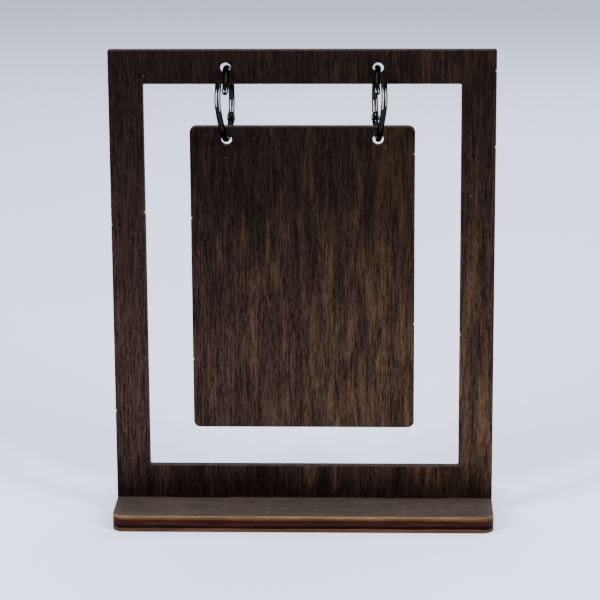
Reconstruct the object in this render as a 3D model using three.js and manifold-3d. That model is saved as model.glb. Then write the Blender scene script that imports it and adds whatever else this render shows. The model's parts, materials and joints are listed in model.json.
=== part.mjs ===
// Desk stand with a photo board that hangs in its window from two hinged album rings.
// Millimetres, +Z up. The origin is the middle of the base's underside, and the front faces -Y.

import * as THREE from 'three';
import { mergeVertices } from 'three/addons/utils/BufferGeometryUtils.js';
import Module from 'manifold-3d';

const wasm = await Module();
wasm.setup();

const degrees = Math.PI / 180;

// Base: two sheets of plywood, one on the other, as wide as the frame.
const baseDepth = 60;
const baseSheet = 4;
const baseCornerRadius = 5.5;

// Upright frame: one sheet of plywood with a window, on two tenons.
const frameWidth = 180;
const frameHeight = 217;
const frameSheet = 4;
const stileWidth = 16.2;
const topRailHeight = 16;
const bottomRailHeight = 16.4;
const frameCornerRadius = 0.8;
const tenonWidth = 30;
const tenonInset = 25;
const tenonClearance = 0.3;

// Rings: round wire in two halves, hinged behind the board and latched in front of the rail.
const ringRadius = 16.5;
const wireDiameter = 2.9;
const ringTurn = 5 * degrees;
const ringShift = 0.15;
const latchAngle = 124 * degrees;
const lapAngle = 12 * degrees;
const upperBend = 42 * degrees;
const lowerBend = 70 * degrees;
const tipGap = 0.4;
const upperStepShare = 0.44;
const knobSwell = 0.1;
const eyeWall = 1.5;
const eyeGap = 0.3;
const rivetDiameter = 2;
const rivetClearance = 0.2;
const rivetHeadWall = 0.9;
const rivetHeadHeight = 0.3;

// Holes for the wire, in the frame's top rail and in the board.
const holeClearance = 1.1;
const wireHang = 0.25;
const frameHoleRise = 7.4;

// Board: one sheet of plywood that hangs clear of the window's sides and floor.
const boardSheet = 4;
const boardSideGap = 21.3;
const boardFloorGap = 19.1;
const boardHoleInset = 17.2;
const boardHoleDrop = 6.3;
const boardCornerRadius = 3;

// Facets.
const wireSides = 12;
const wireSteps = 30;
const holeSides = 32;
const cornerSegments = 3;
const roundSides = 24;

// Places that follow from the sizes above.
const baseHeight = 2 * baseSheet;
const frameTop = baseHeight + frameHeight;
const windowTop = frameTop - topRailHeight;
const windowBottom = baseHeight + bottomRailHeight;
const windowWidth = frameWidth - 2 * stileWidth;
const tenonMiddle = frameWidth / 2 - tenonInset - tenonWidth / 2;
const tenonFoot = baseSheet + tenonClearance;
const wireRadius = wireDiameter / 2;
const holeRadius = wireRadius + holeClearance;
const boardWidth = windowWidth - 2 * boardSideGap;
const ringOffset = boardWidth / 2 - boardHoleInset;
const frameHoleZ = windowTop + frameHoleRise;
const ringCentreZ = frameHoleZ - wireHang - ringRadius;
const boardHoleZ = ringCentreZ - ringRadius - wireHang;
const boardTop = boardHoleZ + boardHoleDrop;
const boardBottom = windowBottom + boardFloorGap;
const hingeAngle = latchAngle - Math.PI;

const stainedPlywood = { color: 0x33261f, roughness: 0.6, metalness: 0 };
const wornPlywood = { color: 0x554a44, roughness: 0.5, metalness: 0 };
const blackNickel = { color: 0x0c0b0b, roughness: 0.15, metalness: 0.9 };

const stand = new THREE.Group();

function addPiece(name, geometry, finish) {
  const piece = new THREE.Mesh(geometry, new THREE.MeshStandardMaterial(finish));
  piece.name = name;
  stand.add(piece);
}

// Booleans

function toSolid(geometry) {
  const bare = geometry.clone();
  bare.deleteAttribute('normal');
  bare.deleteAttribute('uv');
  const merged = mergeVertices(bare);
  return new wasm.Manifold(new wasm.Mesh({
    numProp: 3,
    vertProperties: merged.attributes.position.array,
    triVerts: new Uint32Array(merged.index.array),
  }));
}

function toGeometry(solid) {
  const mesh = solid.getMesh();
  const geometry = new THREE.BufferGeometry();
  geometry.setAttribute('position', new THREE.BufferAttribute(mesh.vertProperties, 3));
  geometry.setIndex(new THREE.BufferAttribute(mesh.triVerts, 1));
  geometry.computeVertexNormals();
  return geometry;
}

// Flat sheets

function roundedRectangle(PathType, left, right, bottom, top, radius) {
  const outline = new PathType();
  outline.moveTo(left + radius, bottom);
  outline.lineTo(right - radius, bottom);
  outline.absarc(right - radius, bottom + radius, radius, -Math.PI / 2, 0);
  outline.lineTo(right, top - radius);
  outline.absarc(right - radius, top - radius, radius, 0, Math.PI / 2);
  outline.lineTo(left + radius, top);
  outline.absarc(left + radius, top - radius, radius, Math.PI / 2, Math.PI);
  outline.lineTo(left, bottom + radius);
  outline.absarc(left + radius, bottom + radius, radius, Math.PI, 1.5 * Math.PI);
  return outline;
}

function flatSheet(outline, thickness) {
  return new THREE.ExtrudeGeometry(outline, {
    depth: thickness,
    bevelEnabled: false,
    curveSegments: cornerSegments,
  });
}

// An upright sheet's outline is drawn as seen from the front, and its thickness is centred on Y = 0.
function uprightSheet(outline, thickness) {
  const geometry = flatSheet(outline, thickness);
  geometry.rotateX(Math.PI / 2);
  geometry.translate(0, thickness / 2, 0);
  return geometry;
}

// Drills a hole for each ring through an upright sheet.
function drilled(sheet, thickness, z) {
  let solid = toSolid(sheet);
  for (const x of [-ringOffset, ringOffset]) {
    const drill = new THREE.CylinderGeometry(holeRadius, holeRadius, 2 * thickness, holeSides);
    drill.translate(x, 0, z);
    solid = solid.subtract(toSolid(drill));
  }
  return toGeometry(solid);
}

// Base

function baseOutline() {
  const side = frameWidth / 2;
  return roundedRectangle(THREE.Shape, -side, side, -baseDepth / 2, baseDepth / 2, baseCornerRadius);
}

function tenonSlot(middle) {
  const width = tenonWidth + 2 * tenonClearance;
  const depth = frameSheet + 2 * tenonClearance;
  const geometry = new THREE.BoxGeometry(width, depth, 2 * baseSheet);
  geometry.translate(middle, 0, 1.5 * baseSheet);
  return toSolid(geometry);
}

function baseBottomSheet() {
  return flatSheet(baseOutline(), baseSheet);
}

function baseTopSheet() {
  const geometry = flatSheet(baseOutline(), baseSheet);
  geometry.translate(0, 0, baseSheet);
  return toGeometry(toSolid(geometry).subtract(tenonSlot(-tenonMiddle)).subtract(tenonSlot(tenonMiddle)));
}

// Upright frame

function frameOutline() {
  const side = frameWidth / 2;
  const radius = frameCornerRadius;
  const outline = new THREE.Shape();
  outline.moveTo(-side, baseHeight);
  for (const middle of [-tenonMiddle, tenonMiddle]) {
    outline.lineTo(middle - tenonWidth / 2, baseHeight);
    outline.lineTo(middle - tenonWidth / 2, tenonFoot);
    outline.lineTo(middle + tenonWidth / 2, tenonFoot);
    outline.lineTo(middle + tenonWidth / 2, baseHeight);
  }
  outline.lineTo(side, baseHeight);
  outline.lineTo(side, frameTop - radius);
  outline.absarc(side - radius, frameTop - radius, radius, 0, Math.PI / 2);
  outline.lineTo(-side + radius, frameTop);
  outline.absarc(-side + radius, frameTop - radius, radius, Math.PI / 2, Math.PI);
  outline.closePath();
  return outline;
}

function uprightFrame() {
  const outline = frameOutline();
  const reach = windowWidth / 2;
  const corner = frameCornerRadius;
  outline.holes.push(roundedRectangle(THREE.Path, -reach, reach, windowBottom, windowTop, corner));
  return drilled(uprightSheet(outline, frameSheet), frameSheet, frameHoleZ);
}

// Board

function hangingBoard() {
  const reach = boardWidth / 2;
  const corner = boardCornerRadius;
  const outline = roundedRectangle(THREE.Shape, -reach, reach, boardBottom, boardTop, corner);
  return drilled(uprightSheet(outline, boardSheet), boardSheet, boardHoleZ);
}

// Rings
//
// Angles run from the ring's lowest point, 0, through its front, 90 degrees, to its top, 180 degrees.
// Each ring is turned a little about its upright diameter, so that its front leans away from the
// middle of the stand, and it is shifted back by part of that lean to share the play in the holes.
// Towards the latch the upper half bends inwards, the lower half outwards, and their tips lie side
// by side.

const tipsApart = wireDiameter + tipGap;
const upperStep = -upperStepShare * tipsApart;
const lowerStep = (1 - upperStepShare) * tipsApart;
const rivetRadius = rivetDiameter / 2;
const boreRadius = rivetRadius + rivetClearance;
const eyeRadius = boreRadius + eyeWall;
const cutReach = wireDiameter;

class RingWire extends THREE.Curve {
  constructor(side, start, end, outwardStep = 0, bend = 1) {
    super();
    this.side = side;
    this.start = start;
    this.end = end;
    this.outwardStep = outwardStep;
    this.bend = bend;
  }

  getPoint(t, target = new THREE.Vector3()) {
    const angle = THREE.MathUtils.lerp(this.start, this.end, t);
    const forward = Math.sin(angle);
    const lean = ringRadius * Math.sin(ringTurn) * (forward - ringShift);
    const fromLatch = Math.abs(angle - latchAngle);
    const past = THREE.MathUtils.smoothstep(fromLatch, lapAngle, lapAngle + this.bend);
    const aside = this.outwardStep * (1 - past);
    return target.set(
      this.side * (ringOffset + lean + aside),
      -ringRadius * forward * Math.cos(ringTurn),
      ringCentreZ - ringRadius * Math.cos(angle),
    );
  }
}

function sweptWire(curve) {
  const section = new THREE.Shape().absarc(0, 0, wireRadius, 0, 2 * Math.PI);
  return toSolid(new THREE.ExtrudeGeometry(section, {
    steps: wireSteps,
    curveSegments: wireSides / 2,
    extrudePath: curve,
  }));
}

function ball(place, radius) {
  const geometry = new THREE.SphereGeometry(radius, roundSides / 2, roundSides / 4);
  geometry.translate(place.x, place.y, place.z);
  return toSolid(geometry);
}

// A disc on the hinge's axis, from one place to another along X, both counted from the wire's middle.
function hingeDisc(hinge, radius, from, to) {
  const geometry = new THREE.CylinderGeometry(radius, radius, Math.abs(to - from), roundSides);
  geometry.rotateZ(-Math.PI / 2);
  geometry.translate(hinge.x + (from + to) / 2, hinge.y, hinge.z);
  return toSolid(geometry);
}

// At the hinge each half's wire is flattened to under half its thickness and carries an eye, and the
// eyes of the two halves lie side by side on the rivet, the upper half's on the outside.
function halfRing(curve, eyeSide, tipRadius) {
  const tip = curve.getPoint(0);
  const hinge = curve.getPoint(1);
  const eyeFace = eyeSide * (eyeGap / 2);
  const eye = hingeDisc(hinge, eyeRadius, eyeFace, eyeSide * wireRadius);
  const room = hingeDisc(hinge, eyeRadius + eyeGap, eyeFace, -eyeSide * cutReach);
  const bore = hingeDisc(hinge, boreRadius, -cutReach, cutReach);
  return toGeometry(sweptWire(curve).add(eye).add(ball(tip, tipRadius)).subtract(room).subtract(bore));
}

function upperHalf(side) {
  const tipAngle = latchAngle - lapAngle / 2;
  const curve = new RingWire(side, tipAngle, hingeAngle + 2 * Math.PI, upperStep, upperBend);
  return halfRing(curve, side, wireRadius);
}

function lowerHalf(side) {
  const curve = new RingWire(side, latchAngle + lapAngle / 2, hingeAngle, lowerStep, lowerBend);
  return halfRing(curve, -side, wireRadius + knobSwell);
}

function hingeRivet(side) {
  const hinge = new RingWire(side, hingeAngle, 0).getPoint(0);
  const headRadius = rivetRadius + rivetHeadWall;
  const halfShank = wireRadius + rivetClearance;
  const profile = [];
  const domeSteps = 4;
  for (let i = 0; i <= domeSteps; i += 1) {
    const angle = (i / domeSteps) * (Math.PI / 2);
    const rise = halfShank + rivetHeadHeight * Math.cos(angle);
    profile.push(new THREE.Vector2(headRadius * Math.sin(angle), -rise));
  }
  profile.push(new THREE.Vector2(rivetRadius, -halfShank));
  const otherEnd = profile.map((point) => new THREE.Vector2(point.x, -point.y)).reverse();
  const geometry = new THREE.LatheGeometry([...profile, ...otherEnd], roundSides);
  geometry.rotateZ(-Math.PI / 2);
  geometry.translate(hinge.x, hinge.y, hinge.z);
  return geometry;
}

addPiece('base_bottom_sheet', baseBottomSheet(), wornPlywood);
addPiece('base_top_sheet', baseTopSheet(), wornPlywood);
addPiece('upright_frame', uprightFrame(), stainedPlywood);
addPiece('hanging_board', hangingBoard(), stainedPlywood);
for (const [name, side] of [['left', -1], ['right', 1]]) {
  addPiece(`${name}_ring_upper_half`, upperHalf(side), blackNickel);
  addPiece(`${name}_ring_lower_half`, lowerHalf(side), blackNickel);
  addPiece(`${name}_ring_hinge_rivet`, hingeRivet(side), blackNickel);
}

export default stand;
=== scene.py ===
"""Desk stand with a photo board that hangs from two hinged album rings in a window frame.

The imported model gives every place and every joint. This script makes the pieces that are seen:
plywood sheets with softened arrises, laser tab marks and stained grain, and glossy wire rings.
Lengths are in metres.
"""

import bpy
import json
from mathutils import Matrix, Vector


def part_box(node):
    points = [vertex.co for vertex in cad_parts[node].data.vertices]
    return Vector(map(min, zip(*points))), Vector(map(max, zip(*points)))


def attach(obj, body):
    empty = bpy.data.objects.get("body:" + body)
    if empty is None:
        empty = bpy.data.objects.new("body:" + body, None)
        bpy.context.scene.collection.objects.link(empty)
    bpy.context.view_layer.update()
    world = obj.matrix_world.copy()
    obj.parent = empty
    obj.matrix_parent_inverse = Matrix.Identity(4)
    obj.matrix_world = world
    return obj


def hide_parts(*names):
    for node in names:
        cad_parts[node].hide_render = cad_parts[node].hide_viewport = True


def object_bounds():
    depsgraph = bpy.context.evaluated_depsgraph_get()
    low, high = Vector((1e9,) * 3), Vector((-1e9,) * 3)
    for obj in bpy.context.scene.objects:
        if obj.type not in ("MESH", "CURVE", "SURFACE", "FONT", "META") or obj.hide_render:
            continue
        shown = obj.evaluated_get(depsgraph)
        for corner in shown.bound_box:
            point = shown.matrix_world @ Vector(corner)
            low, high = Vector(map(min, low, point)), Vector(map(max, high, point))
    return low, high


bl_info = {
    "name": "Photo Album Stand",
    "version": (1, 0, 0),
    "blender": (4, 5, 0),
    "location": "3D View > Sidebar > Photo Stand",
    "description": "Builds a plywood photo stand with a board hung on wire rings",
    "category": "Object",
}

import json
import math

import bmesh
import bpy
from mathutils import Vector
from mathutils.geometry import tessellate_polygon

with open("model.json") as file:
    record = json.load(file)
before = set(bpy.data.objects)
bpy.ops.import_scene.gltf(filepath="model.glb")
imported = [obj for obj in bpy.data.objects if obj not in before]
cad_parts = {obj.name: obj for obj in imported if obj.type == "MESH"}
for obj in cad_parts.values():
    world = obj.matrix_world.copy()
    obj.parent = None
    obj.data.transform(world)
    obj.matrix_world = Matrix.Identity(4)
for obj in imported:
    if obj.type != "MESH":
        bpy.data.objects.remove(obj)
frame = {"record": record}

MM = 0.001
CAD_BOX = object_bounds()
JOINTS = {joint["name"]: joint for joint in frame["record"]["behaviour"]["joints"]}
RING_SIDES = {"left": -1, "right": 1}
SLIVER = 0.001 * MM

# Features of the grain: width across and length along it in millimetres, detail, distortion.
GRAIN = {
    "fibres": (0.3, 3.6, 3, 0),
    "streaks": (0.75, 17, 3, 0.1),
    "bands": (4, 60, 2, 0.3),
    "patches": (6, 48, 3, 0.6),
    "pores": (0.2, 2.6, 3, 0),
    "wander": (9, 60, 2, 0),
}
GRAIN_ROUGHNESS = 0.6
SPECK_SPACING = 9 * MM

# How far above the glue line each layer of the base ends, in millimetres, and its colour.
TOP_SHEET_PLIES = ((0.2, "ply_brown"), (2.05, "ply_red"), (3.05, "ply_gold"), (4, "ply_tan"))
BOTTOM_SHEET_PLIES = ((-2.1, "ply_brown"), (-0.75, "ply_dark"), (0, "ply_red"))

# Tab marks on a sheet's two sides: the side, -1 for the left, and the share of the height.
FRAME_TABS = ((1, 0.955), (1, 0.79), (-1, 0.62), (-1, 0.2))
BOARD_TABS = ((1, 0.91), (-1, 0.7), (-1, 0.23), (1, 0.35))
# Shares of the frame's height: down the window's left side, and up its right side.
WINDOW_TAB_DROP = 0.28
WINDOW_TAB_RISE = 0.3
# Where a dent's corners lie along it, in tab widths. The inner two are its floor.
DENT_SHAPE = (-0.5, -0.3, 0.3, 0.5)
SHORTEST_MARKED_SIDE = 4

# The share of the arris and of the rim's width that each kind of cut edge gets.
OUTLINE_SOFTNESS = 1.0
HOLE_SOFTNESS = 0.5
SLOT_SOFTNESS = 0.1

# Edges that turn by more than these degrees are shaded sharp.
SHARP_SHEET = 50
SHARP_WIRE = 32
SHARP_TURNED = 30

# The lights: place from the stand's middle, width, height, share of the power, and kind.
# A gleam panel lights the rings alone. A fill light isn't mirrored in anything.
LIGHTS = (
    ("softbox_left", (-0.85, -0.8, 0.62), 0.3, 0.42, 1.0, "soft"),
    ("softbox_right", (0.85, -0.8, 0.62), 0.3, 0.42, 1.0, "soft"),
    ("softbox_top", (0, 0.2, 1.4), 1.2, 1.2, 0.5, "soft"),
    ("gleam_left", (-0.85, -0.7, 0.42), 0.9, 0.9, 1.0, "gleam"),
    ("gleam_right", (0.95, -0.5, 0.38), 0.5, 0.9, 0.55, "gleam"),
    ("softbox_back", (0.25, 1.1, 0.75), 0.9, 0.6, 0.4, "fill"),
)
SKY_COLOUR = (0.94, 0.965, 1.0, 1)
SENSOR_WIDTH = 36
NEAREST_SEEN = 0.05
FARTHEST_SEEN = 50


# ---- settings


class PlywoodSettings(bpy.types.PropertyGroup):
    """Sizes and colours of the plywood sheets"""

    arris: bpy.props.FloatProperty(
        name="Arris Radius", description="Rounding of the sheets' long edges",
        default=0.35 * MM, unit="LENGTH",
    )
    rim: bpy.props.FloatProperty(
        name="Rim Width", description="Band beside each edge where the stain is rubbed",
        default=0.75 * MM, unit="LENGTH",
    )
    tab_width: bpy.props.FloatProperty(
        name="Tab Mark Width", description="Width of the marks where the laser left a holding tab",
        default=1.1 * MM, unit="LENGTH",
    )
    tab_depth: bpy.props.FloatProperty(
        name="Tab Mark Depth", description="Depth of the marks where the laser left a holding tab",
        default=0.22 * MM, unit="LENGTH",
    )
    # Painted reflection: the base's top colour is its stain, lightened to stand for the bright
    # surroundings that it mirrors.
    base_stain_and_reflection: bpy.props.FloatVectorProperty(
        name="Stain And Painted Reflection", description="Usual colour of the base's grey-brown top",
        default=(0.052, 0.0385, 0.0315), subtype="COLOR", size=3,
    )
    edge_stain: bpy.props.FloatVectorProperty(
        name="Edge Stain", description="Colour of the frame's and the board's cut edges",
        default=(0.024, 0.0165, 0.0145), subtype="COLOR", size=3,
    )
    stain_dark: bpy.props.FloatVectorProperty(
        name="Dark Stain", description="Colour of the stain in the pores and dense grain",
        default=(0.003, 0.0016, 0.0012), subtype="COLOR", size=3,
    )
    stain_mid: bpy.props.FloatVectorProperty(
        name="Stain", description="Usual colour of the stained veneer",
        default=(0.0245, 0.0135, 0.01), subtype="COLOR", size=3,
    )
    stain_gold: bpy.props.FloatVectorProperty(
        name="Golden Grain", description="Colour where the wood shows through the stain",
        default=(0.051, 0.0285, 0.012), subtype="COLOR", size=3,
    )
    bare_wood: bpy.props.FloatVectorProperty(
        name="Bare Wood", description="Colour of unstained wood at chips and tab marks",
        default=(0.34, 0.23, 0.14), subtype="COLOR", size=3,
    )
    ply_tan: bpy.props.FloatVectorProperty(
        name="Tan Ply", description="Colour of the base's top ply at its edge",
        default=(0.115, 0.071, 0.04), subtype="COLOR", size=3,
    )
    ply_gold: bpy.props.FloatVectorProperty(
        name="Golden Ply", description="Colour of the glue line under the base's top ply",
        default=(0.072, 0.031, 0.008), subtype="COLOR", size=3,
    )
    ply_red: bpy.props.FloatVectorProperty(
        name="Red Ply", description="Colour of the reddish plies at the base's edge",
        default=(0.019, 0.0045, 0.0035), subtype="COLOR", size=3,
    )
    ply_dark: bpy.props.FloatVectorProperty(
        name="Dark Ply", description="Colour of the darkest ply at the base's edge",
        default=(0.004, 0.0012, 0.0008), subtype="COLOR", size=3,
    )
    ply_brown: bpy.props.FloatVectorProperty(
        name="Brown Ply", description="Colour of the base's lowest ply at its edge",
        default=(0.062, 0.027, 0.015), subtype="COLOR", size=3,
    )


class FrameSettings(bpy.types.PropertyGroup):
    """Sizes of the upright frame and its window"""

    stile: bpy.props.FloatProperty(
        name="Stile Width", description="Width of the frame's upright sides",
        default=16.2 * MM, unit="LENGTH",
    )
    top_rail: bpy.props.FloatProperty(
        name="Top Rail Height", description="Height of the frame's top rail",
        default=16 * MM, unit="LENGTH",
    )
    bottom_rail: bpy.props.FloatProperty(
        name="Bottom Rail Height", description="Height of the frame's bottom rail above the base",
        default=16.4 * MM, unit="LENGTH",
    )
    corner: bpy.props.FloatProperty(
        name="Corner Radius", description="Radius of the frame's and the window's corners",
        default=0.8 * MM, unit="LENGTH",
    )
    tenon_width: bpy.props.FloatProperty(
        name="Tenon Width", description="Width of each tenon under the bottom rail",
        default=30 * MM, unit="LENGTH",
    )
    tenon_inset: bpy.props.FloatProperty(
        name="Tenon Inset", description="Distance from the frame's side to its nearer tenon",
        default=25 * MM, unit="LENGTH",
    )
    tenon_clearance: bpy.props.FloatProperty(
        name="Tenon Clearance", description="Gap round each tenon in its slot",
        default=0.05 * MM, unit="LENGTH",
    )
    base_corner: bpy.props.FloatProperty(
        name="Base Corner Radius", description="Radius of the base's corners",
        default=5.5 * MM, unit="LENGTH",
    )
    board_corner: bpy.props.FloatProperty(
        name="Board Corner Radius", description="Radius of the board's corners",
        default=3 * MM, unit="LENGTH",
    )
    hole: bpy.props.FloatProperty(
        name="Ring Hole Diameter", description="Diameter of the holes that the rings pass through",
        default=5.1 * MM, unit="LENGTH",
    )
    wire_hang: bpy.props.FloatProperty(
        name="Wire Hang", description="How far the wire rests from the middle of each hole",
        default=0.25 * MM, unit="LENGTH",
    )


class RingSettings(bpy.types.PropertyGroup):
    """Sizes and colour of the hinged wire rings"""

    wire: bpy.props.FloatProperty(
        name="Wire Diameter", description="Diameter of the ring wire",
        default=2.9 * MM, unit="LENGTH",
    )
    turn: bpy.props.FloatProperty(
        name="Ring Turn", description="Turn of each ring about its upright diameter",
        default=math.radians(5), subtype="ANGLE", unit="ROTATION",
    )
    shift: bpy.props.FloatProperty(
        name="Turn Share", description="Share of the turn's lean that the ring is shifted back by",
        default=0.15, subtype="FACTOR",
    )
    lap: bpy.props.FloatProperty(
        name="Latch Lap", description="Angle over which the two tips lie side by side",
        default=math.radians(12), subtype="ANGLE", unit="ROTATION",
    )
    upper_bend: bpy.props.FloatProperty(
        name="Upper Bend", description="Angle over which the upper half bends inwards to the latch",
        default=math.radians(42), subtype="ANGLE", unit="ROTATION",
    )
    lower_bend: bpy.props.FloatProperty(
        name="Lower Bend",
        description="Angle over which the lower half bends outwards to the latch",
        default=math.radians(70), subtype="ANGLE", unit="ROTATION",
    )
    upper_share: bpy.props.FloatProperty(
        name="Upper Share",
        description="Share of the space between the tips that the upper half bends by",
        default=0.44, subtype="FACTOR",
    )
    tip_gap: bpy.props.FloatProperty(
        name="Tip Gap", description="Gap between the two tips at the latch",
        default=0.4 * MM, unit="LENGTH",
    )
    knob_swell: bpy.props.FloatProperty(
        name="Knob Swell", description="How much the lower half's knob stands out from its wire",
        default=0.1 * MM, unit="LENGTH",
    )
    eye: bpy.props.FloatProperty(
        name="Eye Diameter", description="Diameter of the flat eyes at the hinge",
        default=5.4 * MM, unit="LENGTH",
    )
    eye_gap: bpy.props.FloatProperty(
        name="Eye Gap", description="Gap between the two eyes on the rivet, and round each eye",
        default=0.12 * MM, unit="LENGTH",
    )
    rivet: bpy.props.FloatProperty(
        name="Rivet Diameter", description="Diameter of the hinge rivet's shank",
        default=2 * MM, unit="LENGTH",
    )
    rivet_clearance: bpy.props.FloatProperty(
        name="Rivet Clearance", description="Gap between the rivet and the eyes",
        default=0.2 * MM, unit="LENGTH",
    )
    head_wall: bpy.props.FloatProperty(
        name="Head Overhang", description="How far the rivet's heads reach past its shank",
        default=0.9 * MM, unit="LENGTH",
    )
    head_height: bpy.props.FloatProperty(
        name="Head Height", description="Height of the rivet's domed heads",
        default=0.3 * MM, unit="LENGTH",
    )
    plating: bpy.props.FloatVectorProperty(
        name="Plating", description="Colour of the rings' black nickel plating",
        default=(0.011, 0.0105, 0.0105), subtype="COLOR", size=3,
    )


class StudioSettings(bpy.types.PropertyGroup):
    """The floor, the lights and the camera"""

    floor_colour: bpy.props.FloatVectorProperty(
        name="Floor Colour", description="Colour of the pale floor",
        default=(0.6, 0.66, 0.83), subtype="COLOR", size=3,
    )
    floor_radius: bpy.props.FloatProperty(
        name="Floor Radius", description="Radius of the floor", default=6, unit="LENGTH",
    )
    camera_place: bpy.props.FloatVectorProperty(
        name="Camera Place", description="Where the camera stands",
        default=(0.041, -1.2156, 0.4121), subtype="TRANSLATION", size=3, unit="LENGTH",
    )
    camera_turn: bpy.props.FloatVectorProperty(
        name="Camera Turn", description="Pitch, roll and yaw of the camera",
        default=(math.radians(75.857), math.radians(0.343), math.radians(1.918)),
        subtype="EULER", size=3, unit="ROTATION",
    )
    lens: bpy.props.FloatProperty(
        name="Lens", description="Focal length of the camera in millimetres", default=159.25,
    )
    sky: bpy.props.FloatProperty(
        name="Sky Strength", description="Strength of the even light all round", default=0.95,
    )
    softbox: bpy.props.FloatProperty(
        name="Softbox Power", description="Power of each softbox", default=30, unit="POWER",
    )
    gleam: bpy.props.FloatProperty(
        name="Gleam Power",
        description="Power of the panels that light only the rings",
        default=290, unit="POWER",
    )


SETTINGS = {
    "stand_plywood": PlywoodSettings,
    "stand_frame": FrameSettings,
    "stand_rings": RingSettings,
    "stand_studio": StudioSettings,
}


# ---- node building


def socket(sockets, name, kind=None):
    """The socket of that name, and of that kind where several share the name."""
    for entry in sockets:
        if entry.name == name and entry.enabled and (kind is None or entry.type == kind):
            return entry
    raise KeyError(f"no socket named {name}")


class Recipe:
    """A new material and short ways to add its nodes."""

    def __init__(self, name):
        self.material = bpy.data.materials.new(name)
        self.material.use_nodes = True
        self.tree = self.material.node_tree
        self.tree.nodes.clear()
        output = self.tree.nodes.new("ShaderNodeOutputMaterial")
        self.shader = self.tree.nodes.new("ShaderNodeBsdfPrincipled")
        self.tree.links.new(self.shader.outputs["BSDF"], output.inputs["Surface"])
        self.place = self.tree.nodes.new("ShaderNodeTexCoord").outputs["Object"]

    def feed(self, target, value):
        """Puts a number, a colour or another node's output into a socket."""
        if isinstance(value, bpy.types.NodeSocket):
            self.tree.links.new(value, target)
        elif target.type == "RGBA" and len(value) == 3:
            target.default_value = (*value, 1)
        else:
            target.default_value = value

    def shade(self, **values):
        """Sets the shader's own sockets; underscores in the names stand for spaces."""
        for name, value in values.items():
            self.feed(self.shader.inputs[name.replace("_", " ")], value)

    def maths(self, operation, first, second=0.0):
        node = self.tree.nodes.new("ShaderNodeMath")
        node.operation = operation
        self.feed(node.inputs[0], first)
        self.feed(node.inputs[1], second)
        return node.outputs[0]

    def axes(self, vector):
        """The three parts of a vector."""
        node = self.tree.nodes.new("ShaderNodeSeparateXYZ")
        self.feed(node.inputs[0], vector)
        return node.outputs

    def scaled(self, scale, offset=(0, 0, 0)):
        """The place on the piece, with each axis stretched by its own scale."""
        node = self.tree.nodes.new("ShaderNodeMapping")
        self.feed(node.inputs["Vector"], self.place)
        node.inputs["Scale"].default_value = scale
        node.inputs["Location"].default_value = offset
        return node.outputs[0]

    def noise(self, vector, detail=3.0, roughness=0.55, distortion=0.0):
        node = self.tree.nodes.new("ShaderNodeTexNoise")
        self.feed(node.inputs["Vector"], vector)
        node.inputs["Scale"].default_value = 1
        node.inputs["Detail"].default_value = detail
        node.inputs["Roughness"].default_value = roughness
        node.inputs["Distortion"].default_value = distortion
        return node.outputs["Fac"]

    def cells(self, vector):
        """Distance to the nearest of many scattered points."""
        node = self.tree.nodes.new("ShaderNodeTexVoronoi")
        self.feed(node.inputs["Vector"], vector)
        node.inputs["Scale"].default_value = 1
        return node.outputs["Distance"]

    def ramp(self, factor, low, high, start=0.0, end=1.0):
        """Goes smoothly from start to end while factor goes from low to high."""
        node = self.tree.nodes.new("ShaderNodeMapRange")
        node.interpolation_type = "SMOOTHSTEP"
        self.feed(node.inputs["Value"], factor)
        node.inputs["From Min"].default_value = low
        node.inputs["From Max"].default_value = high
        node.inputs["To Min"].default_value = start
        node.inputs["To Max"].default_value = end
        return node.outputs["Result"]

    def mix(self, factor, first, second, blend="MIX"):
        node = self.tree.nodes.new("ShaderNodeMix")
        node.data_type = "RGBA"
        node.blend_type = blend
        self.feed(socket(node.inputs, "Factor", "VALUE"), factor)
        self.feed(socket(node.inputs, "A", "RGBA"), first)
        self.feed(socket(node.inputs, "B", "RGBA"), second)
        return socket(node.outputs, "Result", "RGBA")

    def attribute(self, name):
        node = self.tree.nodes.new("ShaderNodeAttribute")
        node.attribute_name = name
        return node.outputs["Fac"]

    def bump(self, height, depth, strength):
        node = self.tree.nodes.new("ShaderNodeBump")
        node.inputs["Strength"].default_value = strength
        node.inputs["Distance"].default_value = depth
        self.feed(node.inputs["Height"], height)
        return node.outputs["Normal"]


# ---- materials


def stretch(across, along, grain_axis):
    """Scales for a texture with features of these lengths across and along the grain."""
    scale = [1 / across, 1 / across, 1 / across]
    scale[grain_axis] = 1 / along
    return scale


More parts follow.
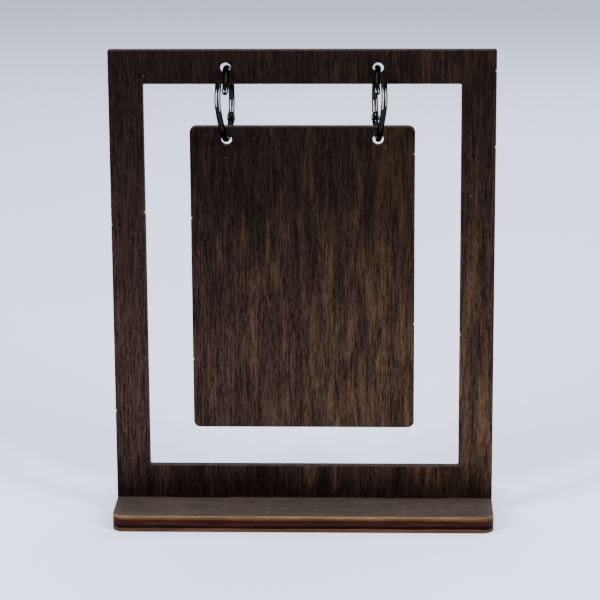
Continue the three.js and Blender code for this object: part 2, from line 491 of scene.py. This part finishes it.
def stained_veneer(name, grain_axis, seed, dark, mid, gold_share, sheen, painted_shading):
    """Dark stained veneer: fine streaks and pores along the grain, golden patches, rubbed rims.

    dark and mid are the stain's colours. A higher gold_share gives more golden patches. sheen is
    the shader's specular level. Each of the shading entries is (low, high, at low, at high):
    painted light and shade, a factor on the colour that goes from at low to at high between those
    heights.
    """
    settings = bpy.context.scene.stand_plywood
    recipe = Recipe(name)
    offset = (seed, seed * 1.7, seed * 2.3)

    def grain(feature):
        across, along, detail, distortion = GRAIN[feature]
        place = recipe.scaled(stretch(across * MM, along * MM, grain_axis), offset)
        return recipe.noise(place, detail, GRAIN_ROUGHNESS, distortion)

    fibres = grain("fibres")
    streaks = grain("streaks")
    bands = grain("bands")
    patches = grain("patches")
    pores = recipe.ramp(grain("pores"), 0.57, 0.68)
    figure = recipe.maths(
        "ADD", recipe.maths("MULTIPLY", fibres, 0.55), recipe.maths("MULTIPLY", streaks, 0.45))
    body = recipe.maths(
        "MULTIPLY", recipe.ramp(figure, 0.4, 0.61), recipe.ramp(bands, 0.25, 0.75, 0.6, 1))
    colour = recipe.mix(body, dark, mid)
    across = recipe.axes(recipe.place)[0]
    drift = recipe.maths("ADD", patches, recipe.maths("MULTIPLY", across, 1.4))
    start = 0.6 - 0.3 * gold_share
    gold = recipe.maths(
        "MULTIPLY", recipe.ramp(drift, start, start + 0.3),
        recipe.ramp(figure, 0.36, 0.66, 0.1, 0.75))
    colour = recipe.mix(gold, colour, settings.stain_gold)
    colour = recipe.mix(recipe.maths("MULTIPLY", pores, 0.6), colour, dark)
    # Painted light and shade: the colour is scaled by factors that change with height, along a wavy
    # line.
    wander = recipe.ramp(grain("wander"), 0, 1, -13 * MM, 13 * MM)
    height = recipe.maths("ADD", recipe.axes(recipe.place)[2], wander)
    for low, high, at_low, at_high in painted_shading:
        light = recipe.ramp(height, low, high, at_low, at_high)
        colour = recipe.mix(1.0, colour, light, "MULTIPLY")
    rubbed = recipe.maths(
        "MULTIPLY", recipe.attribute("rim"), recipe.ramp(figure, 0.45, 0.7, 0.0, 0.3))
    colour = recipe.mix(rubbed, colour, settings.stain_gold)
    specks = recipe.cells(recipe.scaled((1 / SPECK_SPACING,) * 3, offset))
    colour = recipe.mix(recipe.ramp(specks, 0.018, 0.03, 0.25, 0), colour, settings.bare_wood)
    bare = recipe.maths("MULTIPLY", recipe.attribute("bare"), 0.5)
    colour = recipe.mix(bare, colour, settings.bare_wood)
    recipe.shade(
        Base_Color=colour,
        Roughness=recipe.ramp(figure, 0.3, 0.7, 0.62, 0.46),
        Specular_IOR_Level=sheen,
        Normal=recipe.bump(recipe.maths("SUBTRACT", figure, pores), 0.03 * MM, 0.7),
    )
    return recipe.material


def ply_edge(name, axis, along, layers, seed):
    """A cut edge: layers of wood across the sheet, with end grain and saw-dark patches.

    layers lists, from the lowest, where each layer ends and its colour.
    """
    settings = bpy.context.scene.stand_plywood
    recipe = Recipe(name)
    offset = (seed, seed * 1.3, seed * 2.1)
    wave = recipe.noise(recipe.scaled(stretch(2 * MM, 22 * MM, along), offset), 3)
    fibre = recipe.noise(recipe.scaled(stretch(0.25 * MM, 5 * MM, along), offset), 4, 0.65)
    patch = recipe.noise(recipe.scaled(stretch(4 * MM, 34 * MM, along), offset), 3, 0.6)
    level = recipe.maths(
        "ADD", recipe.axes(recipe.place)[axis],
        recipe.maths("MULTIPLY", recipe.ramp(wave, 0, 1, -0.5, 0.5), 0.9 * MM))
    colour = layers[0][1]
    for (end, _), (_, following) in zip(layers, layers[1:]):
        colour = recipe.mix(recipe.ramp(level, end - 0.16 * MM, end + 0.16 * MM), colour, following)
    tone = recipe.maths(
        "MULTIPLY", recipe.ramp(fibre, 0.3, 0.75, 0.55, 1.25),
        recipe.ramp(patch, 0.3, 0.7, 0.6, 1.15))
    colour = recipe.mix(1.0, colour, tone, "MULTIPLY")
    bare = recipe.maths("MULTIPLY", recipe.attribute("bare"), 0.6)
    colour = recipe.mix(bare, colour, settings.bare_wood)
    recipe.shade(
        Base_Color=colour,
        Roughness=recipe.ramp(fibre, 0.3, 0.7, 0.55, 0.4),
        Specular_IOR_Level=0.03,
        Normal=recipe.bump(fibre, 0.05 * MM, 0.6),
    )
    return recipe.material


def black_nickel():
    """Glossy black nickel plating, with fine scuffs and a little uneven gloss."""
    settings = bpy.context.scene.stand_rings
    recipe = Recipe("Black nickel plating")
    clouds = recipe.noise(recipe.scaled((1 / (1.6 * MM),) * 3), 4, 0.6)
    scuffs = recipe.noise(recipe.scaled((1 / (0.22 * MM),) * 3), 2, 0.6)
    darker = [0.7 * part for part in settings.plating]
    recipe.shade(
        Base_Color=recipe.mix(recipe.ramp(clouds, 0.3, 0.7), settings.plating, darker),
        Metallic=1.0,
        Specular_Tint=(0.25, 0.25, 0.25),
        Roughness=recipe.ramp(clouds, 0.3, 0.75, 0.05, 0.11),
        Normal=recipe.bump(scuffs, 0.003 * MM, 0.15),
    )
    return recipe.material


# ---- sheet making


def arc(centre, radius, start, end, steps=8):
    """Points on an arc, from one angle to another in degrees."""
    points = []
    for i in range(steps + 1):
        angle = math.radians(start + (end - start) * i / steps)
        points.append(centre + radius * Vector((math.cos(angle), math.sin(angle))))
    return points


def rounded_rectangle(low, high, radius):
    """A rectangle's outline, counter-clockwise, from its lower left corner."""
    corners = [
        (Vector((low.x + radius, low.y + radius)), 180),
        (Vector((high.x - radius, low.y + radius)), 270),
        (Vector((high.x - radius, high.y - radius)), 0),
        (Vector((low.x + radius, high.y - radius)), 90),
    ]
    outline = []
    for centre, start in corners:
        outline += arc(centre, radius, start, start + 90)
    return outline


def round_hole(centre, radius, steps=48):
    """A circle's outline, clockwise."""
    return arc(centre, radius, 0, -360, steps)[:-1]


def add_tab_marks(outline, marks, width, depth):
    """A loop for build_sheet: the outline with a shallow dent at each mark that lies on it."""
    result, dents = [], {}
    for i, start in enumerate(outline):
        end = outline[(i + 1) % len(outline)]
        result.append(start)
        side = end - start
        if side.length < SHORTEST_MARKED_SIDE * width:
            continue
        direction = side.normalized()
        inward = Vector((-direction.y, direction.x)) * depth
        near = []
        for mark in marks:
            along = (mark - start).dot(direction)
            off_line = (mark - start - along * direction).length
            if off_line < width and width < along < side.length - width:
                near.append(along)
        for along in sorted(near):
            middle = start + along * direction
            for step in DENT_SHAPE:
                if abs(step) < DENT_SHAPE[-1]:
                    dents[len(result)] = inward
                result.append(middle + step * width * direction)
    return result, dents, OUTLINE_SOFTNESS


def tab_places(tabs, left, right, foot, tall):
    """Places of the tab marks on the two sides of a sheet."""
    return [Vector((right if side > 0 else left, foot + share * tall)) for side, share in tabs]


def inset(outline, distance):
    """The outline moved into the material, which lies to its left."""
    moved = []
    for i, point in enumerate(outline):
        before = (point - outline[i - 1]).normalized()
        after = (outline[(i + 1) % len(outline)] - point).normalized()
        normal = Vector((-before.y, before.x)) + Vector((-after.y, after.x))
        normal.normalize()
        lean = max(0.5, normal.dot(Vector((-after.y, after.x))))
        moved.append(point + normal * (distance / lean))
    return moved


def sheet_profile(thickness, arris, rim, steps=4):
    """A section of a sheet's edge as (distance in, height), from its lower face to its upper."""
    profile = [(rim, -thickness / 2)]
    for i in range(steps + 1):
        angle = math.radians(90) * i / steps
        height = -thickness / 2 + arris * (1 - math.cos(angle))
        profile.append((arris * (1 - math.sin(angle)), height))
    upper = [(distance, -height) for distance, height in reversed(profile)]
    return profile + upper


def build_sheet(name, loops, to_space, thickness, faces_material, edges_material):
    """A flat sheet with softened arrises and holes.

    loops is a list of (outline, dents, softness of its edges), the outer one first and
    counter-clockwise, the holes clockwise. to_space turns (u, v, height) into a place.
    """
    settings = bpy.context.scene.stand_plywood
    profile = sheet_profile(thickness, settings.arris, settings.rim)
    mesh = bmesh.new()
    rim_layer = mesh.verts.layers.float.new("rim")
    bare_layer = mesh.verts.layers.float.new("bare")
    lower, upper = [], []
    last = len(profile) - 1
    rim = profile[0][0]
    for outline, dents, softness in loops:
        rows = []
        for row, (distance, height) in enumerate(profile):
            points = inset(outline, distance * softness)
            for i, inward in dents.items():
                points[i] += inward * (1 - distance / rim)
            verts = [mesh.verts.new(to_space(point.x, point.y, height)) for point in points]
            for i, vert in enumerate(verts):
                vert[rim_layer] = 0.0 if row in (0, last) else 1.0
                vert[bare_layer] = 1.0 if i in dents and row not in (0, last) else 0.0
            rows.append(verts)
        count = len(outline)
        for row in range(last):
            for i in range(count):
                j = (i + 1) % count
                near, far = rows[row], rows[row + 1]
                face = mesh.faces.new((near[i], near[j], far[j], far[i]))
                face.material_index = 0 if row in (0, last - 1) else 1
                face.smooth = True
        lower.append(rows[0])
        upper.append(rows[last])
    for rings in (lower, upper):
        flat = [vert for ring in rings for vert in ring]
        for triangle in tessellate_polygon([[vert.co for vert in ring] for ring in rings]):
            face = mesh.faces.new([flat[i] for i in triangle])
            face.smooth = True
    bmesh.ops.recalc_face_normals(mesh, faces=mesh.faces)
    return finish_mesh(name, mesh, [faces_material, edges_material], SHARP_SHEET)


def finish_mesh(name, mesh, materials, sharp_angle):
    """Turns a bmesh into an object, with edges past the angle shaded sharp."""
    data = bpy.data.meshes.new(name)
    mesh.to_mesh(data)
    mesh.free()
    for material in materials:
        data.materials.append(material)
    data.set_sharp_from_angle(angle=math.radians(sharp_angle))
    piece = bpy.data.objects.new(name, data)
    bpy.context.scene.collection.objects.link(piece)
    return piece


def upright(u, v, height):
    """A sheet that stands up, its upper face to the front."""
    return Vector((u, -height, v))


def hole_pair(z):
    """Outlines of the two ring holes at a height."""
    radius = bpy.context.scene.stand_frame.hole / 2
    middles = [Vector((ring_x(side), z)) for side in RING_SIDES.values()]
    return [(round_hole(middle, radius), {}, HOLE_SOFTNESS) for middle in middles]


def hand_over(piece, node, body):
    """Gives a finished piece its body, and hides the imported part that it stands for."""
    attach(piece, body)
    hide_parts(node)


# ---- base, frame and board


def tenon_middles():
    """Where the two tenons stand along X."""
    settings = bpy.context.scene.stand_frame
    low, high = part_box("upright_frame")
    reach = (high.x - low.x) / 2 - settings.tenon_inset - settings.tenon_width / 2
    return [-reach, reach]


def rectangle_hole(low, high):
    """A rectangle's outline, clockwise."""
    corners = ((low.x, low.y), (low.x, high.y), (high.x, high.y), (high.x, low.y))
    return [Vector(corner) for corner in corners]


def build_base_sheet(node, plies, slots, seed):
    """One of the base's two sheets, with any slots for the frame's tenons."""
    plywood = bpy.context.scene.stand_plywood
    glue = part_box("base_top_sheet")[0].z
    layers = [(glue + end * MM, getattr(plywood, colour)) for end, colour in plies]
    low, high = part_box(node)
    middle = (low.z + high.z) / 2
    corner = bpy.context.scene.stand_frame.base_corner
    loops = [(rounded_rectangle(low, high, corner), {}, OUTLINE_SOFTNESS)]
    loops += [(slot, {}, SLOT_SOFTNESS) for slot in slots]
    # The base's top: its stain lightened with a painted reflection of the bright surroundings, and
    # a darker share of that colour for its grain.
    dark_stain_and_reflection = [0.3 * part for part in plywood.base_stain_and_reflection]
    face = stained_veneer(f"{node} face", 0, seed, dark_stain_and_reflection, plywood.base_stain_and_reflection, -0.6, 0.12, [])
    edge = ply_edge(f"{node} edge", 2, 0, layers, seed)

    def lying(u, v, height):
        return Vector((u, v, middle + height))

    name = node.removesuffix("_sheet")
    piece = build_sheet(name, loops, lying, high.z - low.z, face, edge)
    hand_over(piece, node, "stand")


class STAND_OT_base(bpy.types.Operator):
    """Add the base's two plywood sheets"""

    bl_idname = "stand.base"
    bl_label = "Base Sheets"

    def execute(self, context):
        settings = context.scene.stand_frame
        half_width = settings.tenon_width / 2 + settings.tenon_clearance
        frame_low, frame_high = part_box("upright_frame")
        half_depth = (frame_high.y - frame_low.y) / 2 + settings.tenon_clearance
        slots = [
            rectangle_hole(
                Vector((x - half_width, -half_depth)), Vector((x + half_width, half_depth)))
            for x in tenon_middles()
        ]
        build_base_sheet("base_top_sheet", TOP_SHEET_PLIES, slots, 3.1)
        build_base_sheet("base_bottom_sheet", BOTTOM_SHEET_PLIES, [], 5.3)
        return {"FINISHED"}


class STAND_OT_upright_frame(bpy.types.Operator):
    """Add the upright frame with its window and tenons"""

    bl_idname = "stand.upright_frame"
    bl_label = "Upright Frame"

    def execute(self, context):
        plywood = context.scene.stand_plywood
        settings = context.scene.stand_frame
        low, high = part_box("upright_frame")
        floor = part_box("base_top_sheet")[1].z
        corner = settings.corner
        outline = [Vector((low.x, floor))]
        for middle in tenon_middles():
            left, right = middle - settings.tenon_width / 2, middle + settings.tenon_width / 2
            tenon = ((left, floor), (left, low.z), (right, low.z), (right, floor))
            outline += [Vector(place) for place in tenon]
        outline.append(Vector((high.x, floor)))
        outline += arc(Vector((high.x - corner, high.z - corner)), corner, 0, 90)
        outline += arc(Vector((low.x + corner, high.z - corner)), corner, 90, 180)
        tall = high.z - floor
        marks = tab_places(FRAME_TABS, low.x, high.x, floor, tall)
        outer = add_tab_marks(outline, marks, plywood.tab_width, plywood.tab_depth)
        window_low = Vector((low.x + settings.stile, floor + settings.bottom_rail))
        window_high = Vector((high.x - settings.stile, high.z - settings.top_rail))
        window = rounded_rectangle(window_low, window_high, corner)
        window.reverse()
        inner_marks = [
            Vector((window_low.x, window_high.y - WINDOW_TAB_DROP * tall)),
            Vector((window_high.x, window_low.y + WINDOW_TAB_RISE * tall)),
        ]
        inner = add_tab_marks(window, inner_marks, plywood.tab_width, plywood.tab_depth)
        hole_z = JOINTS["left_ring_swing"]["pos_m"][2] + settings.wire_hang
        # Painted light and shade: lighter low down and darker towards the top rail, with a painted
        # dark band along the foot where the base's shade and dark reflection fall.
        face = stained_veneer(
            "Frame veneer", 2, 1.7, plywood.stain_dark, plywood.stain_mid, 0.25, 0.02,
            [(0.05, 0.21, 1.45, 0.42), (floor + 3 * MM, floor + 27 * MM, 0.2, 1)])
        edge = ply_edge("Frame edge", 1, 2, upright_layers(low.y, high.y), 2.9)
        loops = [outer, inner, *hole_pair(hole_z)]
        piece = build_sheet(
            "upright_frame_plywood", loops, upright, high.y - low.y, face, edge)
        hand_over(piece, "upright_frame", "stand")
        return {"FINISHED"}


def upright_layers(front, back):
    """The three plies of an upright sheet, all darkened by the stain."""
    plywood = bpy.context.scene.stand_plywood
    third = (back - front) / 3
    return [
        (front + third, plywood.edge_stain),
        (front + 2 * third, [0.8 * part for part in plywood.edge_stain]),
        (back, plywood.edge_stain),
    ]


class STAND_OT_board(bpy.types.Operator):
    """Add the hanging photo board"""

    bl_idname = "stand.board"
    bl_label = "Hanging Board"

    def execute(self, context):
        plywood = context.scene.stand_plywood
        settings = context.scene.stand_frame
        low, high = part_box("hanging_board")
        outline = rounded_rectangle(
            Vector((low.x, low.z)), Vector((high.x, high.z)), settings.board_corner)
        tall = high.z - low.z
        marks = tab_places(BOARD_TABS, low.x, high.x, low.z, tall)
        outer = add_tab_marks(outline, marks, plywood.tab_width, plywood.tab_depth)
        hole_z = ring_centre().z - ring_radius() - settings.wire_hang
        # Painted light and shade: the board is lighter low down and darker towards its top.
        face = stained_veneer(
            "Board veneer", 2, 4.3, plywood.stain_dark, plywood.stain_mid, 0.5, 0.02,
            [(low.z + 0.1 * tall, low.z + 0.9 * tall, 1.4, 0.42)])
        edge = ply_edge("Board edge", 1, 2, upright_layers(low.y, high.y), 6.1)
        loops = [outer, *hole_pair(hole_z)]
        piece = build_sheet(
            "hanging_board_plywood", loops, upright, high.y - low.y, face, edge)
        hand_over(piece, "hanging_board", "board")
        return {"FINISHED"}


# ---- rings


def ring_centre():
    """The ring centres' height, as a point between the rings."""
    return Vector(JOINTS["board_flip"]["pos_m"])


def ring_radius():
    """Radius of the wire's middle line."""
    return JOINTS["left_ring_swing"]["pos_m"][2] - ring_centre().z


def ring_x(side):
    """Where a ring hangs along X."""
    return side * abs(JOINTS["left_ring_swing"]["pos_m"][0])


def hinge_angle():
    """The hinge's angle round the ring, from its lowest point towards its front."""
    drop = ring_centre().z - JOINTS["left_ring_open"]["pos_m"][2]
    return -math.acos(drop / ring_radius())


def smooth_step(value, low, high):
    share = min(1.0, max(0.0, (value - low) / (high - low)))
    return share * share * (3 - 2 * share)


def wire_point(side, angle, outward=0.0, bend=1.0):
    """A place on the wire's middle line, which moves outward at the latch over the angle bend."""
    settings = bpy.context.scene.stand_rings
    radius = ring_radius()
    latch = hinge_angle() + math.pi
    lean = radius * math.sin(settings.turn) * (math.sin(angle) - settings.shift)
    aside = outward * (1 - smooth_step(abs(angle - latch), settings.lap, settings.lap + bend))
    return Vector((
        ring_x(side) + side * (lean + aside),
        -radius * math.sin(angle) * math.cos(settings.turn),
        ring_centre().z - radius * math.cos(angle),
    ))


def wire_points(side, start, end, outward, bend, steps=110):
    """Places along half a ring, from its tip to its hinge."""
    angles = [start + (end - start) * i / steps for i in range(steps + 1)]
    return [wire_point(side, angle, outward, bend) for angle in angles]


def join_rings(mesh, rings, sides):
    """Faces between rings of points, where a ring of one point is a pole."""
    for first, second in zip(rings, rings[1:]):
        for k in range(sides):
            following = (k + 1) % sides
            corners = [first[k % len(first)], first[following % len(first)],
                       second[following % len(second)], second[k % len(second)]]
            unique = list(dict.fromkeys(corners))
            if len(unique) > 2:
                mesh.faces.new(unique)


def swept_wire(mesh, points, radius, tip_radius, sides=32, tip_steps=9):
    """A round closed tube along the points, whose first end is a knob of its own radius."""
    first = (points[1] - points[0]).normalized()
    stations = []
    for i in range(tip_steps):
        angle = math.radians(90) * i / tip_steps
        place = points[0] - first * tip_radius * math.cos(angle)
        stations.append((place, first, tip_radius * math.sin(angle)))
    for i, point in enumerate(points):
        ahead = (points[min(i + 1, len(points) - 1)] - points[max(i - 1, 0)]).normalized()
        from_tip = min(tip_radius, (point - points[0]).length)
        stations.append((point, ahead, max(radius, math.sqrt(tip_radius ** 2 - from_tip ** 2))))
    rings = []
    for place, ahead, reach in stations:
        across = ahead.cross(Vector((1, 0, 0))).normalized()
        beside = across.cross(ahead)
        angles = [2 * math.pi * k / sides for k in range(sides)] if reach > 0 else [0]
        rings.append([
            mesh.verts.new(place + reach * (math.cos(angle) * across + math.sin(angle) * beside))
            for angle in angles])
    join_rings(mesh, rings, sides)
    mesh.faces.new(rings[-1])


def turned(mesh, profile, middle, sides=48):
    """A round body about an axis along X. The profile of (radius, x) starts and ends on it."""
    rings = []
    for radius, x in profile:
        if radius < 1e-9:
            rings.append([mesh.verts.new(middle + Vector((x, 0, 0)))])
            continue
        ring = []
        for k in range(sides):
            angle = 2 * math.pi * k / sides
            offset = Vector((x, radius * math.cos(angle), radius * math.sin(angle)))
            ring.append(mesh.verts.new(middle + offset))
        rings.append(ring)
    join_rings(mesh, rings, sides)


def solid(name, build):
    """An object whose mesh the build function makes, with its faces pointing out."""
    mesh = bmesh.new()
    build(mesh)
    bmesh.ops.recalc_face_normals(mesh, faces=mesh.faces)
    return finish_mesh(name, mesh, [], SHARP_TURNED)


def disc_profile(radius, start, end, round_off, steps=4):
    """A disc from start to end along X with a rounded rim."""
    low, high = min(start, end), max(start, end)
    angles = [math.radians(90) * i / steps for i in range(steps + 1)]
    curve = [(round_off * (1 - math.sin(angle)), round_off * (1 - math.cos(angle)))
             for angle in angles]
    profile = [(0, low)]
    profile += [(radius - across, low + along) for across, along in curve]
    profile += [(radius - along, high - across) for across, along in curve]
    profile.append((0, high))
    return profile


def cylinder_profile(radius, start, end):
    """A plain cylinder from start to end along X."""
    low, high = min(start, end), max(start, end)
    return [(0, low), (radius, low), (radius, high), (0, high)]


def combine(piece, other, operation):
    """Joins or cuts a piece with another solid, which is then removed."""
    modifier = piece.modifiers.new(operation.lower(), "BOOLEAN")
    modifier.operation = operation
    modifier.solver = "EXACT"
    modifier.object = other
    graph = bpy.context.evaluated_depsgraph_get()
    data = bpy.data.meshes.new_from_object(piece.evaluated_get(graph))
    piece.modifiers.clear()
    old, piece.data = piece.data, data
    bpy.data.meshes.remove(old)
    bpy.data.objects.remove(other)


def clean(piece):
    """Closes the pinholes and drops the slivers that cutting leaves."""
    mesh = bmesh.new()
    mesh.from_mesh(piece.data)
    bmesh.ops.remove_doubles(mesh, verts=mesh.verts, dist=SLIVER)
    bmesh.ops.holes_fill(mesh, edges=[edge for edge in mesh.edges if len(edge.link_faces) == 1])
    loose = [edge for edge in mesh.edges if not edge.link_faces]
    bmesh.ops.delete(mesh, geom=loose, context="EDGES")
    bmesh.ops.triangulate(mesh, faces=[face for face in mesh.faces if len(face.verts) > 4])
    bmesh.ops.dissolve_degenerate(mesh, edges=mesh.edges, dist=SLIVER)
    closed = len(mesh.faces) > 0 and all(len(edge.link_faces) == 2 for edge in mesh.edges)
    mesh.to_mesh(piece.data)
    mesh.free()
    if not closed:
        raise RuntimeError(f"{piece.name} isn't closed")


def gleaming():
    """The pieces that the gleam panels light."""
    name = "gleaming_pieces"
    return bpy.data.collections.get(name) or bpy.data.collections.new(name)


def plating():
    """The rings' one finish."""
    return bpy.data.materials.get("Black nickel plating") or black_nickel()


def plate(piece):
    """Gives a ring's piece its finish and smooth shading."""
    piece.data.materials.clear()
    piece.data.materials.append(plating())
    for polygon in piece.data.polygons:
        polygon.use_smooth = True


def hand_over_metal(piece, node, body):
    """Hands over a ring's piece, and lets the gleam panels light it."""
    hand_over(piece, node, body)
    gleaming().objects.link(piece)


def ring_half(name, points, eye_side, tip_radius):
    """Half a ring: wire with a rounded tip at the latch and a flat eye at the hinge."""
    settings = bpy.context.scene.stand_rings
    radius = settings.wire / 2
    hinge = points[-1]
    eye_face = eye_side * settings.eye_gap / 2
    far = 2 * settings.wire
    piece = solid(name, lambda mesh: swept_wire(mesh, points, radius, tip_radius))
    eye = disc_profile(settings.eye / 2, -eye_side * radius / 2, eye_side * radius, 0.25 * MM)
    room = cylinder_profile(settings.eye / 2 + settings.eye_gap, eye_face, -eye_side * far)
    bore = cylinder_profile(settings.rivet / 2 + settings.rivet_clearance, -far, far)
    combine(piece, solid("eye", lambda mesh: turned(mesh, eye, hinge)), "UNION")
    combine(piece, solid("room", lambda mesh: turned(mesh, room, hinge)), "DIFFERENCE")
    combine(piece, solid("bore", lambda mesh: turned(mesh, bore, hinge)), "DIFFERENCE")
    clean(piece)
    piece.data.name = name
    plate(piece)
    piece.data.set_sharp_from_angle(angle=math.radians(SHARP_WIRE))
    return piece


class STAND_OT_rings(bpy.types.Operator):
    """Add the two halves of each wire ring"""

    bl_idname = "stand.rings"
    bl_label = "Ring Halves"

    def execute(self, context):
        settings = context.scene.stand_rings
        wire = settings.wire / 2
        apart = settings.wire + settings.tip_gap
        latch = hinge_angle() + math.pi
        for word, side in RING_SIDES.items():
            points = wire_points(
                side, latch - settings.lap / 2, hinge_angle() + 2 * math.pi,
                -settings.upper_share * apart, settings.upper_bend)
            upper = ring_half(f"{word}_ring_upper", points, side, wire)
            hand_over_metal(upper, f"{word}_ring_upper_half", f"{word}_ring_upper")
            points = wire_points(
                side, latch + settings.lap / 2, hinge_angle(),
                (1 - settings.upper_share) * apart, settings.lower_bend)
            lower = ring_half(f"{word}_ring_lower", points, -side, wire + settings.knob_swell)
            hand_over_metal(lower, f"{word}_ring_lower_half", f"{word}_ring_lower")
        return {"FINISHED"}


class STAND_OT_rivets(bpy.types.Operator):
    """Add the rivet of each ring's hinge"""

    bl_idname = "stand.rivets"
    bl_label = "Hinge Rivets"

    def execute(self, context):
        settings = context.scene.stand_rings
        shank = settings.rivet / 2
        half = settings.wire / 2 + settings.rivet_clearance
        head = shank + settings.head_wall
        profile = []
        steps = 10
        for i in range(steps + 1):
            angle = math.radians(90) * i / steps
            profile.append((head * math.sin(angle), -half - settings.head_height * math.cos(angle)))
        profile.append((shank, -half))
        profile += [(radius, -x) for radius, x in reversed(profile)]
        for word, side in RING_SIDES.items():
            middle = wire_point(side, hinge_angle())
            piece = solid(f"{word}_hinge_rivet", lambda mesh: turned(mesh, profile, middle))
            plate(piece)
            hand_over_metal(piece, f"{word}_ring_hinge_rivet", f"{word}_ring_upper")
        return {"FINISHED"}


# ---- studio


def softbox(name, place, aim, width, height, power):
    """A large soft rectangular light that the camera doesn't see."""
    light = bpy.data.lights.new(name, "AREA")
    light.shape = "RECTANGLE"
    light.size = width
    light.size_y = height
    light.energy = power
    lamp = bpy.data.objects.new(name, light)
    lamp.location = place
    lamp.rotation_euler = (Vector(aim) - Vector(place)).to_track_quat("-Z", "Y").to_euler()
    lamp.visible_camera = False
    bpy.context.scene.collection.objects.link(lamp)
    return lamp


class STAND_OT_studio(bpy.types.Operator):
    """Add the floor, the soft lights and the camera"""

    bl_idname = "stand.studio"
    bl_label = "Studio"

    def execute(self, context):
        settings = context.scene.stand_studio
        low, high = CAD_BOX
        middle = (low + high) / 2
        recipe = Recipe("Pale floor")
        recipe.shade(
            Base_Color=settings.floor_colour,
            Roughness=0.75,
            Specular_IOR_Level=0.0,
            Normal=recipe.bump(recipe.noise(recipe.scaled((60, 60, 60))), 0.2 * MM, 0.2),
        )
        mesh = bmesh.new()
        bmesh.ops.create_circle(mesh, cap_ends=True, segments=96, radius=settings.floor_radius)
        floor = finish_mesh("studio_floor", mesh, [recipe.material], SHARP_TURNED)
        floor.location.z = low.z
        world = bpy.data.worlds.new("Studio")
        world.use_nodes = True
        background = world.node_tree.nodes["Background"]
        background.inputs["Color"].default_value = SKY_COLOUR
        background.inputs["Strength"].default_value = settings.sky
        context.scene.world = world
        for name, place, width, height, share, kind in LIGHTS:
            power = share * (settings.gleam if kind == "gleam" else settings.softbox)
            lamp = softbox(name, middle + Vector(place), middle, width, height, power)
            if kind == "gleam":
                lamp.visible_diffuse = False
                lamp.light_linking.receiver_collection = gleaming()
            elif kind == "fill":
                lamp.visible_glossy = False
        camera_data = bpy.data.cameras.new("Camera")
        camera_data.lens = settings.lens
        camera_data.sensor_width = SENSOR_WIDTH
        camera_data.clip_start = NEAREST_SEEN
        camera_data.clip_end = FARTHEST_SEEN
        camera = bpy.data.objects.new("Camera", camera_data)
        camera.location = settings.camera_place
        camera.rotation_euler = settings.camera_turn
        context.scene.collection.objects.link(camera)
        context.scene.camera = camera
        return {"FINISHED"}


# ---- panel and start


class STAND_PT_panel(bpy.types.Panel):
    """Lists the stand's pieces and settings"""

    bl_label = "Photo Stand"
    bl_idname = "STAND_PT_panel"
    bl_space_type = "VIEW_3D"
    bl_region_type = "UI"
    bl_category = "Photo Stand"

    def draw(self, context):
        layout = self.layout
        for operator in OPERATORS:
            layout.operator(operator.bl_idname)
        for name in SETTINGS:
            box = layout.box()
            group = getattr(context.scene, name)
            for key in group.bl_rna.properties.keys():
                if key not in ("rna_type", "name"):
                    box.prop(group, key)


OPERATORS = (
    STAND_OT_studio,
    STAND_OT_base,
    STAND_OT_upright_frame,
    STAND_OT_board,
    STAND_OT_rings,
    STAND_OT_rivets,
)
CLASSES = (*SETTINGS.values(), *OPERATORS, STAND_PT_panel)


def register():
    for cls in CLASSES:
        bpy.utils.register_class(cls)
    for name, group in SETTINGS.items():
        setattr(bpy.types.Scene, name, bpy.props.PointerProperty(type=group))


def unregister():
    for name in SETTINGS:
        delattr(bpy.types.Scene, name)
    for cls in reversed(CLASSES):
        bpy.utils.unregister_class(cls)


def main():
    register()
    bpy.ops.stand.studio()
    bpy.ops.stand.base()
    bpy.ops.stand.upright_frame()
    bpy.ops.stand.board()
    bpy.ops.stand.rings()
    bpy.ops.stand.rivets()


if __name__ == "__main__":
    main()
